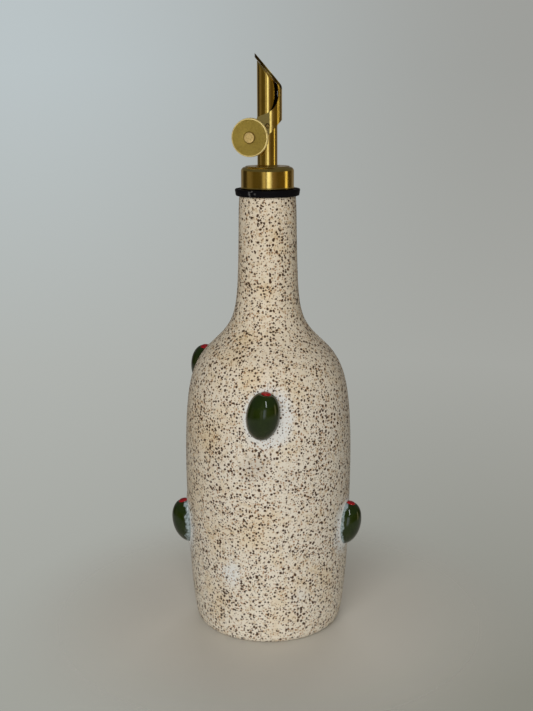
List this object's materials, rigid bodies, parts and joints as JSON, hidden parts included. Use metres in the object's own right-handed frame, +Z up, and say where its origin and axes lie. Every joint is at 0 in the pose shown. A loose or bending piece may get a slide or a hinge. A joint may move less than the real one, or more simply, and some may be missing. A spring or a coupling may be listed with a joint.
{
  "type": "oil dispenser bottle",
  "caption": "Shouldered stoneware oil bottle dressed with olives, shut by a silicone stopper with a brass pourer whose weighted flap tips open to pour.",
  "frame": {"origin": "middle of the flat foot that the bottle stands on", "axes": "+Z up along the bottle's axis, -Y towards the front with the upper front olive, +X to the right seen from the front"},
  "size_m": [0.0952, 0.0965, 0.2805],
  "materials": {
    "stoneware": "satin speckled cream glaze",
    "olive_glaze": "glossy dark olive green glaze with a red tip",
    "silicone": "matte black",
    "brass": "polished, satin on the weights"
  },
  "bodies": {
    "bottle_body": {"bottle": "stoneware", "olive_upper_front": "olive_glaze", "olive_upper_left": "olive_glaze", "olive_upper_back": "olive_glaze", "olive_lower_left": "olive_glaze", "olive_lower_right": "olive_glaze", "olive_lower_back": "olive_glaze", "stopper": "silicone", "collar": "brass", "spout_tube": "brass"},
    "flap_body": {"flap": "brass", "weight_front": "brass", "weight_rivet_front": "brass", "weight_back": "brass", "weight_rivet_back": "brass"}
  },
  "joints": [
    {"name": "flap_hinge", "type": "hinge", "parent": "bottle_body", "child": "flap_body", "pos_m": [0, 0, 0.2477], "axis": [0, 1, 0], "range_deg": [0, 45]}
  ]
}
